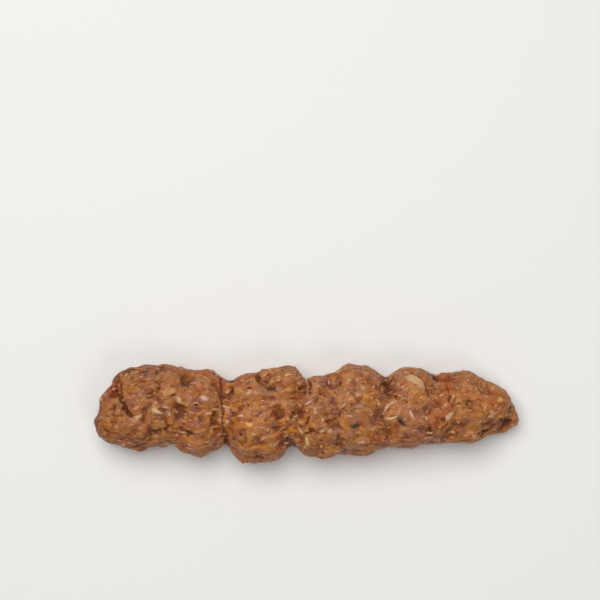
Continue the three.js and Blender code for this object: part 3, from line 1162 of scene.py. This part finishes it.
@dataclass
class Pieces:
    """One kind of piece in the meat's skin, which becomes one mesh.

    The variants of its placed pieces are drawn from `seed`. It follows the meat's relief by `follow`.
    """

    name: str
    slot: str
    shape: Shape
    finish: PieceFinish
    placed: tuple[Placed, ...] = ()
    spread: Optional[Spread] = None
    seed: int = 1
    follow: float = 0.6
    variants: int = 6
    tries: int = 30
    underneath: float = -0.7

    def build(self, bed: Bed) -> bpy.types.Object:
        """Lays the pieces on the skin.

        Args:
            bed: What they lie on.

        Returns:
            The pieces as one object.
        """
        seats = self._placed_seats(bed)
        if self.spread:
            seats += self._spread_seats(bed)
        points = self._points(seats)
        shapes = self._shapes()
        mesh = self._laying(bed, shapes).applied_to(points)
        bpy.data.objects.remove(points)
        for shape in list(shapes.objects):
            bpy.data.objects.remove(shape)
        bpy.data.collections.remove(shapes)
        thing = shown(self.name, mesh)
        log.info("%s: %d pieces, %d faces", self.name, len(seats), len(mesh.polygons))
        return thing

    def _placed_seats(self, bed: Bed) -> list[Seat]:
        """Where the pieces with their own places sit.

        Args:
            bed: What they lie on.

        Returns:
            Their seats.
        """
        random = np.random.default_rng(self.seed)
        seats = []
        for piece in self.placed:
            at, facing = bed.under(piece.x, piece.y)
            if at is None:
                log.warning("%s: no meat under %.1f, %.1f", self.name, piece.x, piece.y)
                continue
            size = (piece.length * MM, piece.width * MM, MM)
            seats.append(Seat(at, facing, size, math.radians(piece.turn), piece.proud * MM, piece.shade,
                              piece.curl * MM, int(random.integers(self.variants))))
        return seats

    def _spread_seats(self, bed: Bed) -> list[Seat]:
        """Where the spread pieces sit: even over the skin, apart from each other, and fewer underneath.

        Args:
            bed: What they lie on.

        Returns:
            Their seats.
        """
        rule = self.spread
        random = np.random.default_rng(rule.seed)
        taken = list(bed.taken)
        seats: list[Seat] = []
        for _ in range(self.tries * rule.count):
            if len(seats) == rule.count:
                break
            at, facing, cracked = bed.face(random.random())
            luck, *sizes, turn, shade, curl = random.random(7)
            hidden = facing.z < self.underneath and luck > rule.under
            if cracked or hidden or bed.is_near(at, taken, rule.apart * MM):
                continue
            taken.append(at)
            length, width, proud = (
                (low + (high - low) * draw) * MM
                for (low, high), draw in zip((rule.length, rule.width, rule.proud), sizes)
            )
            lie = 2 * turn - 1
            seats.append(Seat(at, facing, (length, width, MM), 0.5 * math.pi * lie * abs(lie), proud,
                              shade ** rule.dull, rule.curl * MM * max(0.0, 4 * curl - 3),
                              int(random.integers(self.variants))))
        return seats

    def _points(self, seats: list[Seat]) -> bpy.types.Object:
        """The seats as points with attributes.

        Args:
            seats: The seats.

        Returns:
            The points.
        """
        mesh = bpy.data.meshes.new(self.name + "_seats")
        mesh.from_pydata([seat.at for seat in seats], [], [])
        for label, kind in (("facing", "FLOAT_VECTOR"), ("size", "FLOAT_VECTOR"), ("turn", "FLOAT"),
                            ("proud", "FLOAT"), ("shade", "FLOAT"), ("curl", "FLOAT"), ("shape", "INT")):
            carry(mesh, label, [getattr(seat, label) for seat in seats], kind)
        return shown(self.name + "_seats", mesh)

    def _shapes(self) -> bpy.types.Collection:
        """The shape's variants.

        Returns:
            The collection that holds them.
        """
        group = bpy.data.collections.new(self.name + "_shapes")
        for i in range(self.variants):
            name = f"{self.name}_shape_{i}"
            mesh = FORMS[self.shape].mesh(name, seed=31 * i + len(self.name))
            group.objects.link(bpy.data.objects.new(name, mesh))
        return group

    def _laying(self, bed: Bed, shapes: bpy.types.Collection) -> GeometryTree:
        """Builds the tree that puts a variant on each seat and wraps it on the skin.

        Args:
            bed: What the pieces lie on.
            shapes: The variants.

        Returns:
            The tree.
        """
        tree = GeometryTree("laid_" + self.name, {
            "Skin": ("Object", bed.meat), "Rounded Skin": ("Object", bed.rounded),
            "Shapes": ("Collection", shapes), "Follow": ("Float", self.follow),
            "Material": ("Material", self.finish.material()),
        })
        given = tree.given
        facing = tree.attribute("facing", "FLOAT_VECTOR")
        upright = tree.node("FunctionNodeAlignRotationToVector", {"axis": "Z"}, {"Vector": facing})[0]
        spin = tree.node("FunctionNodeAxisAngleToRotation", None, {
            "Axis": (0.0, 0.0, 1.0), "Angle": tree.attribute("turn")})[0]
        turned = tree.node("FunctionNodeRotateRotation", {"rotation_space": "LOCAL"}, {
            0: upright, 1: spin})[0]
        variants = tree.node("GeometryNodeCollectionInfo", None, {
            "Collection": given["Shapes"], "Separate Children": True, "Reset Children": True})[0]
        laid = tree.node("GeometryNodeInstanceOnPoints", None, {
            "Points": given["Geometry"], "Instance": variants, "Pick Instance": True,
            "Instance Index": tree.attribute("shape", "INT"), "Rotation": turned,
            "Scale": tree.attribute("size", "FLOAT_VECTOR")})[0]
        real = tree.node("GeometryNodeRealizeInstances", None, {"Geometry": laid})[0]
        place = tree.node("GeometryNodeInputPosition")[0]
        skin = tree.mesh_of(given["Skin"])
        for name in SKIN_ATTRIBUTES:
            value = tree.node("GeometryNodeSampleNearestSurface", {"data_type": "FLOAT"}, {
                0: skin, "Value": tree.attribute(name), "Sample Position": place})[0]
            real = tree.stored(real, name, value)
        near, round_near = (
            tree.node("GeometryNodeProximity", {"target_element": "FACES"}, {
                0: mesh, "Source Position": place})[0]
            for mesh in (skin, tree.mesh_of(given["Rounded Skin"]))
        )
        base = tree.node("ShaderNodeMix", {"data_type": "VECTOR"}, {
            0: given["Follow"], 4: round_near, 5: near})[1]
        end = tree.attribute("end").most(0.0)
        lift = tree.attribute("lift") * tree.attribute("proud") + tree.attribute("curl") * end * end
        laid = tree.above(tree.vector("ADD", base, tree.vector("SCALE", facing, lift)), 0.0)
        real = tree.node("GeometryNodeSetPosition", None, {"Geometry": real, "Position": laid})[0]
        tree.finish(real, given["Material"])
        return tree


def shades(*screens: tuple[int, int, int], middle: float = 0.5) -> Stops:
    """The stops of a ramp between two screen colours, or through three, whose second lies at the middle."""
    places = (0.0, middle, 1.0) if len(screens) == 3 else (0.0, 1.0)
    return tuple((place, srgb(*screen)) for place, screen in zip(places, screens))


def pieces_in_meat() -> list[Pieces]:
    """Every kind of piece that shows in the meat.

    Returns:
        The kinds, in the order in which they are laid.
    """
    crumb = PieceFinish("mince_crumb", MeatFinish().stops, smeared=1.0, least=0.7, clean=0.25, rough=0.45,
                        clear=0.16, coat=0.12, mottle=0.35)
    granule = PieceFinish("pale_granule", shades((176, 126, 88), (214, 172, 132)),
                          smeared=0.95, least=0.3, clean=0.2)
    onion = PieceFinish("onion", shades((180, 134, 88), (220, 184, 138)), smeared=0.8, clean=0.5, coat=0.22)
    shred = PieceFinish("pale_shred", shades((172, 122, 82), (194, 150, 110), (228, 192, 152)),
                        smeared=0.9, least=0.2)
    fat = PieceFinish("fat", shades((178, 130, 94), (200, 154, 122), (196, 168, 160), middle=0.7),
                      smeared=0.8)
    pepper = PieceFinish("pepper", shades((196, 116, 38), (228, 160, 62)))
    spice = PieceFinish("spice_paste", shades((172, 102, 44), (196, 138, 70)),
                        smeared=0.95, least=0.25, clean=0.1, coat=0.12)
    lean = PieceFinish("lean_meat", shades((130, 78, 56), (142, 100, 78)),
                       smeared=0.95, least=0.2, clean=0.2, coat=0.06)
    chilli = PieceFinish("chilli", shades((150, 56, 30), (176, 80, 44)), smeared=0.9, least=0.3)
    herb = PieceFinish("herb", shades((52, 36, 12), (70, 54, 24)), least=0.0, clear=0.0, rough=0.5, coat=0.05)
    corn = PieceFinish("peppercorn", shades((50, 30, 20), (78, 50, 34)), smeared=0.6, clear=0.0, coat=0.1)
    return [
        Pieces("mince_crumbs", "meat", Shape.CRUMB, crumb, follow=0.85, spread=Spread(
            300, 7, (2.6, 6.4), (1.8, 3.8), (0.12, 0.36), 4.6, under=0.5, curl=0.5)),
        Pieces("pale_granules", "fat", Shape.NODULE, granule, follow=0.8, spread=Spread(
            340, 19, (1.2, 3.2), (0.9, 1.8), (0.12, 0.3), 3.0, dull=1.6)),
        Pieces("onion_flake", "onion", Shape.PETAL, onion, variants=1, placed=placed_at(
            (45.7, 13.9, 11.0, 4.6, -42, 0.6, 0.6, 0.4),
        )),
        Pieces("onion", "onion", Shape.FLAKE, onion, seed=12, placed=placed_at(
            (46.4, 12.2, 4.2, 1.6, -52, 0.3, 0.0), (-54.1, 5.6, 3.8, 2.4, 78, 0.4, 0.5),
            (-64.0, 1.2, 4.6, 3.2, -55, 0.4, 0.6), (-71.4, -1.4, 3.4, 3.0, 8, 0.4, 0.5),
            (-59.2, -12.6, 3.6, 1.9, 20, 0.4, 0.4), (-0.2, -11.9, 5.6, 1.9, 84, 0.5, 0.7),
            (-24.8, 9.0, 3.8, 1.7, 28, 0.35, 0.5), (-22.7, -8.7, 3.4, 1.6, -15, 0.3, 0.3),
            (59.9, -1.0, 4.2, 3.3, 60, 0.35, 0.5), (61.4, -7.8, 2.3, 1.8, 10, 0.3, 0.3),
            (58.2, 3.9, 2.4, 2.2, 0, 0.35, 0.2),
        ), spread=Spread(26, 5, (1.8, 4.0), (1.2, 2.2), (0.25, 0.45), 11.0, dull=1.5)),
        Pieces("pale_shreds", "onion", Shape.SLIVER, shred, seed=27, placed=placed_at(
            (35.2, -1.8, 7.6, 1.6, 10, 0.35, 0.75), (44.0, -0.3, 5.4, 1.2, -62, 0.35, 1.0),
            (-3.1, -7.0, 4.6, 0.9, -55, 0.3, 0.9), (-41.4, 0.2, 3.8, 1.2, 0, 0.3, 0.8),
            (-38.6, 1.9, 4.9, 0.9, 0, 0.25, 0.5), (-39.2, -5.4, 5.0, 0.8, 3, 0.25, 0.5),
            (-47.4, 13.0, 2.4, 1.0, 0, 0.3, 0.6), (-52.6, -7.9, 4.4, 1.1, -5, 0.3, 0.5),
            (-58.2, -0.1, 2.2, 0.9, 90, 0.3, 0.8), (-59.6, 2.6, 4.6, 0.9, -6, 0.3, 0.5),
            (-19.2, -5.9, 3.4, 0.9, -5, 0.25, 0.5), (-13.6, -12.8, 3.4, 1.0, 0, 0.3, 0.8),
            (-10.4, -6.1, 4.0, 0.8, 36, 0.25, 0.5), (-4.9, -0.9, 2.8, 1.1, 20, 0.3, 0.5),
            (-8.2, 16.6, 4.0, 1.0, 12, 0.3, 0.9), (-17.8, 16.6, 4.8, 0.9, 45, 0.3, 0.6),
            (0.4, 4.9, 4.8, 1.6, 35, 0.3, 0.5), (17.4, -0.9, 5.0, 1.2, -8, 0.25, 0.4),
            (13.1, 17.9, 3.2, 1.4, 40, 0.3, 0.9), (22.8, -12.1, 4.4, 1.9, 12, 0.3, 0.6),
            (56.6, 8.0, 3.4, 0.9, 30, 0.3, 0.6), (74.9, 2.4, 4.4, 1.0, 75, 0.3, 0.6),
            (65.0, -12.0, 4.4, 0.9, 5, 0.35, 0.5), (40.8, -6.3, 2.8, 0.8, 15, 0.25, 0.5),
            (84.0, -0.2, 2.6, 0.9, 20, 0.3, 0.7), (81.4, 10.2, 5.2, 0.9, -45, 0.3, 0.3),
            (85.2, 4.8, 5.2, 0.9, -62, 0.3, 0.3),
        ), spread=Spread(260, 23, (1.4, 4.0), (0.6, 1.2), (0.1, 0.26), 3.4, dull=2.8)),
        Pieces("fat", "fat", Shape.FLAKE, fat, seed=17, placed=placed_at(
            (-43.5, 6.7, 3.8, 3.0, 60, 0.35, 0.8), (77.8, -0.2, 4.4, 2.9, -15, 0.45, 0.5),
            (34.6, 3.9, 6.4, 2.7, 42, 0.35, 0.3), (15.0, 3.6, 1.9, 1.6, 40, 0.3, 0.9),
            (27.7, 11.3, 1.9, 1.6, 0, 0.3, 0.7), (23.4, 11.1, 2.2, 2.4, 0, 0.25, 0.5),
            (9.0, 13.2, 2.0, 1.6, 0, 0.3, 0.4), (-33.8, -3.6, 1.6, 1.4, 0, 0.3, 0.9),
            (-19.0, 5.5, 1.5, 1.3, 0, 0.3, 0.7), (-38.7, 8.8, 1.5, 1.3, 30, 0.3, 0.7),
            (-38.0, 16.4, 2.2, 1.7, 60, 0.3, 0.4), (6.1, -7.3, 2.2, 1.5, 10, 0.3, 1.0),
            (40.2, 11.3, 1.3, 1.1, 0, 0.3, 0.9), (63.5, -3.5, 2.1, 1.7, 80, 0.3, 0.2),
            (75.3, 7.3, 2.2, 1.9, 0, 0.3, 0.3), (78.2, 10.8, 2.2, 1.7, 70, 0.3, 0.3),
            (45.2, -6.9, 1.9, 1.3, 0, 0.3, 0.5),
        ), spread=Spread(24, 41, (1.4, 3.2), (1.0, 2.0), (0.2, 0.4), 12.0)),
        Pieces("pepper", "pepper", Shape.FLAKE, pepper, seed=4, placed=placed_at(
            (-24.7, -4.6, 5.0, 2.8, -12, 0.4, 0.4), (81.4, 6.1, 3.8, 3.0, -30, 0.5, 0.9),
            (5.9, -14.0, 1.7, 1.3, 0, 0.35, 0.7), (66.6, -9.6, 3.0, 1.5, 10, 0.3, 0.1),
        ), spread=Spread(14, 67, (1.4, 2.8), (1.0, 1.8), (0.2, 0.4), 16.0)),
        Pieces("spice_paste", "pepper", Shape.NODULE, spice, seed=13, follow=0.8, placed=placed_at(
            (-58.8, 9.6, 11.0, 5.4, 18, 0.08, 0.8), (-63.4, -4.8, 11.0, 5.4, 8, 0.1, 0.7),
            (-80.2, 0.9, 5.8, 4.6, 20, 0.25, 0.6), (-72.4, 2.4, 4.6, 2.6, 30, 0.2, 0.7),
            (-29.6, 10.4, 7.4, 4.6, 0, 0.2, 0.8), (-33.8, 12.4, 4.0, 2.8, 90, 0.2, 0.7),
            (-7.6, 10.4, 6.4, 3.0, -8, 0.2, 0.8), (61.4, 7.2, 3.4, 2.6, 80, 0.25, 0.8),
            (64.6, 1.0, 2.8, 2.2, 0, 0.25, 0.6), (42.4, -10.9, 6.0, 2.6, 5, 0.25, 0.8),
            (24.6, 17.0, 3.6, 2.2, 0, 0.2, 0.7), (21.3, 8.1, 5.0, 3.2, 0, 0.25, 0.9),
            (2.2, -5.1, 4.0, 3.2, 0, 0.25, 0.6),
        ), spread=Spread(50, 83, (2.4, 6.0), (1.8, 3.4), (0.1, 0.25), 8.0)),
        Pieces("lean_meat", "meat", Shape.NODULE, lean, seed=7, follow=0.8, placed=placed_at(
            (22.0, 3.1, 6.2, 4.0, 0, 0.15, 0.9), (-14.0, -4.4, 6.0, 4.0, -10, 0.15, 0.4),
            (-6.1, 14.3, 5.0, 3.2, -30, 0.15, 0.6), (13.2, 14.4, 4.6, 3.4, 40, 0.15, 0.5),
            (63.3, 12.1, 4.4, 4.8, 60, 0.15, 0.7), (47.1, -1.1, 4.0, 3.4, 90, 0.15, 0.3),
            (67.2, -2.0, 4.0, 3.4, 0, 0.15, 0.5),
        ), spread=Spread(46, 173, (3.0, 6.0), (2.2, 3.8), (0.08, 0.2), 9.0)),
        Pieces("chilli", "chilli", Shape.NODULE, chilli, placed=placed_at(
            (87.8, -2.8, 3.6, 3.2, 0, 0.15, 0.05),
        ), spread=Spread(18, 97, (1.6, 3.6), (1.0, 2.0), (0.1, 0.3), 14.0)),
        Pieces("herb", "herb", Shape.LEAF, herb, seed=5, placed=placed_at(
            (-15.4, 10.1, 5.4, 2.8, -10, 0.5, 0.8), (19.8, -5.0, 4.8, 2.4, 22, 0.35, 0.3),
            (39.3, -2.9, 4.8, 2.8, -80, 0.35, 0.2), (-31.0, -10.3, 2.2, 1.3, 10, 0.25, 0.2),
            (-28.2, -8.6, 1.8, 1.0, 60, 0.25, 0.2),
        ), spread=Spread(12, 131, (1.4, 3.4), (0.8, 1.6), (0.15, 0.25), 18.0)),
        Pieces("peppercorn", "peppercorn", Shape.NODULE, corn, placed=placed_at(
            (57.0, -2.4, 2.5, 2.4, 0, 0.7, 0.5),
        ), spread=Spread(5, 151, (1.2, 2.0), (1.0, 1.7), (0.3, 0.5), 25.0)),
    ]


# ---------- The studio ----------


@dataclass(frozen=True)
class Softbox:
    """A square light that faces the kofta. Metres and watts."""

    name: str
    place: tuple[float, float, float]
    size: float
    power: float


@dataclass
class Studio:
    """The floor, the lights and the camera, which looks straight down. Metres."""

    sensor: float = 36.0
    floor_size: float = 6.0
    floor_drop: float = 0.0002
    sky: float = 0.2
    nearest: float = 0.01
    softboxes: tuple[Softbox, ...] = (
        Softbox("overhead", (-0.2, 0.4, 1.2), 0.9, 14.0),
        Softbox("front", (0.35, -0.5, 1.1), 0.5, 2.0),
    )

    def build(self) -> None:
        """Makes the studio."""
        self._floor()
        for softbox in self.softboxes:
            self._light(softbox)
        self._world()
        self._camera()

    def _floor(self) -> None:
        """The floor, just under the meat."""
        half = self.floor_size / 2
        mesh = bpy.data.meshes.new("floor")
        corners = [(-half, -half), (half, -half), (half, half), (-half, half)]
        mesh.from_pydata([(x, y, -self.floor_drop) for x, y in corners], [], [(0, 1, 2, 3)])
        mesh.materials.append(FloorFinish().material())
        shown("floor", mesh)

    def _light(self, softbox: Softbox) -> None:
        """Hangs a light.

        Args:
            softbox: The light.
        """
        lamp = bpy.data.lights.new(softbox.name, "AREA")
        lamp.size = softbox.size
        lamp.energy = softbox.power
        thing = bpy.data.objects.new(softbox.name, lamp)
        thing.location = softbox.place
        aim = Vector((0, 0, VIEW.level)) - Vector(softbox.place)
        thing.rotation_euler = aim.to_track_quat("-Z", "Y").to_euler()
        bpy.context.scene.collection.objects.link(thing)

    def _world(self) -> None:
        """Even pale light from all round."""
        world = bpy.data.worlds.new("studio")
        world.use_nodes = True
        tree = Tree(world.node_tree)
        sky = tree.node("ShaderNodeBackground", None, {"Color": (1.0, 1.0, 1.0, 1.0), "Strength": self.sky})
        tree.node("ShaderNodeOutputWorld", None, {"Surface": sky[0]})
        bpy.context.scene.world = world

    def _camera(self) -> None:
        """The camera, level and straight above."""
        data = bpy.data.cameras.new("camera")
        data.sensor_width = self.sensor
        data.lens = self.sensor * (VIEW.height - VIEW.level) / VIEW.width
        data.clip_start = self.nearest
        camera = bpy.data.objects.new("camera", data)
        camera.location = (*VIEW.middle, VIEW.height)
        bpy.context.scene.collection.objects.link(camera)
        bpy.context.scene.camera = camera
        bpy.context.scene.view_settings.view_transform = "Standard"


def main() -> None:
    """Builds the kofta and its studio."""
    logging.basicConfig(level=logging.INFO, format="%(name)s: %(message)s")
    Studio().build()
    meat, rounded = Meat().build()
    kinds = pieces_in_meat()
    bed = Bed(meat, rounded)
    for kind in kinds:
        places = (bed.under(piece.x, piece.y)[0] for piece in kind.placed)
        bed.taken += [place for place in places if place is not None]
    built = [(kind, kind.build(bed)) for kind in kinds]
    bpy.data.objects.remove(rounded)
    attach(meat, "root")
    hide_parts("kofta")
    for kind, thing in built:
        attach(thing, "root")


if __name__ == "__main__":
    main()
